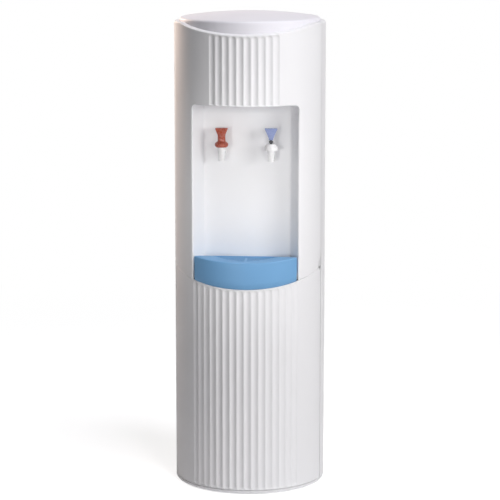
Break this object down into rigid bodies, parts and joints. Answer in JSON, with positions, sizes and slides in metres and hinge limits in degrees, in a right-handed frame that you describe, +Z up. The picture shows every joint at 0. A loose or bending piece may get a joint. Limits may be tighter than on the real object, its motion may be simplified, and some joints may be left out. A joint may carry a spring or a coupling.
{
  "type": "bottom load water cooler",
  "caption": "Round floor-standing water cooler with a fluted bottle door, an open alcove with hot and cold taps, a blue drip tray and a rear condenser.",
  "frame": {"origin": "middle of the footprint on the floor", "axes": "+Z up, the front with the taps looks along -Y, +X to the right of a person facing the cooler from the front"},
  "size_m": [0.338, 0.338, 1.067],
  "materials": {
    "white_shell": "satin moulded",
    "lid_plastic": "satin moulded",
    "tray_blue": "satin moulded",
    "red_plastic": "gloss moulded",
    "blue_handle": "gloss moulded",
    "tap_white": "gloss moulded",
    "dark_plastic": "matte moulded",
    "silicone": "silicone",
    "stainless": "brushed",
    "copper_brass": "drawn copper",
    "black_enamel": "black enamel",
    "zinc_steel": "zinc plated",
    "foam": "expanded foam",
    "clear_hose": "clear tubing",
    "rubber_foot": "rubber",
    "grey_plastic": "moulded",
    "aluminium_sleeve": "mill finish",
    "green_switch": "gloss moulded"
  },
  "bodies": {
    "root": {"base_pan": "white_shell", "feet": "rubber_foot", "bottle_cradle": "grey_plastic", "rear_shell": "white_shell", "upper_front_cover": "white_shell", "hinge_pins": "stainless", "hinge_bracket": "zinc_steel", "door_magnet": "dark_plastic", "frame_posts": "zinc_steel", "mid_deck": "zinc_steel", "top_ring": "zinc_steel", "hot_tap_body": "tap_white", "cold_tap_body": "tap_white", "hot_tap_bonnet": "tap_white", "cold_tap_bonnet": "tap_white", "lever_pins": "stainless", "tap_springs": "stainless", "tap_nuts": "tap_white", "tank_shelf": "zinc_steel", "cold_tank": "stainless", "evaporator": "aluminium_sleeve", "tank_foam": "foam", "tank_lid": "tap_white", "hot_tank": "stainless", "hot_jacket": "foam", "hot_pipes": "silicone", "cold_outlet_pipe": "silicone", "water_pump": "dark_plastic", "probe_hose": "clear_hose", "fill_hose": "clear_hose", "probe_cap": "tray_blue", "probe_tube": "stainless", "probe_clip": "grey_plastic", "compressor": "black_enamel", "compressor_grommets": "rubber_foot", "condenser_tube": "black_enamel", "condenser_wires": "black_enamel", "condenser_brackets": "zinc_steel", "filter_drier": "copper_brass", "control_box": "dark_plastic", "cable_gland": "dark_plastic", "drain_outlet": "tap_white", "panel_screws": "stainless"},
    "door": {"lower_door": "white_shell", "door_strike": "zinc_steel"},
    "tray": {"drip_tray": "tray_blue"},
    "grille": {"drip_grille": "tray_blue"},
    "lid": {"top_lid": "lid_plastic"},
    "hot_tap_lever": {"hot_lever": "dark_plastic"},
    "hot_tap_handle": {"hot_handle": "red_plastic"},
    "cold_tap_lever": {"cold_lever": "dark_plastic", "cold_handle": "blue_handle"},
    "hot_valve": {"hot_stem": "tap_white", "hot_seal": "silicone"},
    "cold_valve": {"cold_stem": "tap_white", "cold_seal": "silicone"},
    "hot_rocker": {"hot_switch": "red_plastic"},
    "cold_rocker": {"cold_switch": "green_switch"},
    "thermostat": {"thermostat_knob": "dark_plastic"},
    "drain_plug": {"drain_cap": "tap_white"}
  },
  "joints": [
    {"name": "door_hinge", "type": "hinge", "parent": "root", "child": "door", "pos_m": [0.15731, -0.04809, 0.25], "axis": [0, 0, 1], "range_deg": [0, 105]},
    {"name": "tray_slide", "type": "slide", "parent": "root", "child": "tray", "axis": [0, -1, 0], "range_m": [0, 0.1]},
    {"name": "grille_lift", "type": "slide", "parent": "tray", "child": "grille", "axis": [0, 0, 1], "range_m": [0, 0.03]},
    {"name": "lid_lift", "type": "slide", "parent": "root", "child": "lid", "axis": [0, 0, 1], "range_m": [0, 0.06]},
    {"name": "hot_lever_tilt", "type": "hinge", "parent": "root", "child": "hot_tap_lever", "pos_m": [-0.0547, -0.1, 0.778], "axis": [-1, 0, 0], "range_deg": [0, 20], "stiffness_Nm_per_rad": 0.3},
    {"name": "hot_handle_lift", "type": "slide", "parent": "hot_tap_lever", "child": "hot_tap_handle", "axis": [0, 0, 1], "range_m": [0, 0.004], "stiffness_N_per_m": 200, "springref_m": -0.002},
    {"name": "cold_lever_tilt", "type": "hinge", "parent": "root", "child": "cold_tap_lever", "pos_m": [0.0547, -0.1, 0.778], "axis": [-1, 0, 0], "range_deg": [0, 20], "stiffness_Nm_per_rad": 0.3},
    {"name": "hot_valve_slide", "type": "slide", "parent": "root", "child": "hot_valve", "axis": [0, 0, -1], "range_m": [0, 0.0026], "deforming": ["tap_springs"]},
    {"name": "cold_valve_slide", "type": "slide", "parent": "root", "child": "cold_valve", "axis": [0, 0, -1], "range_m": [0, 0.0026], "deforming": ["tap_springs"]},
    {"name": "hot_switch_rock", "type": "hinge", "parent": "root", "child": "hot_rocker", "pos_m": [-0.036, 0.124, 0.955], "axis": [1, 0, 0], "range_deg": [0, 16]},
    {"name": "cold_switch_rock", "type": "hinge", "parent": "root", "child": "cold_rocker", "pos_m": [0, 0.124, 0.955], "axis": [1, 0, 0], "range_deg": [0, 16]},
    {"name": "thermostat_turn", "type": "hinge", "parent": "root", "child": "thermostat", "pos_m": [0.046, 0.13, 0.955], "axis": [0, 1, 0], "range_deg": [0, 270]},
    {"name": "drain_cap_pull", "type": "slide", "parent": "root", "child": "drain_plug", "axis": [0, 1, 0], "range_m": [0, 0.02]}
  ],
  "couplings": [
    {"joint": "hot_valve_slide", "follows": "hot_lever_tilt", "m_per_rad": 0.007162},
    {"joint": "cold_valve_slide", "follows": "cold_lever_tilt", "m_per_rad": 0.007162}
  ]
}
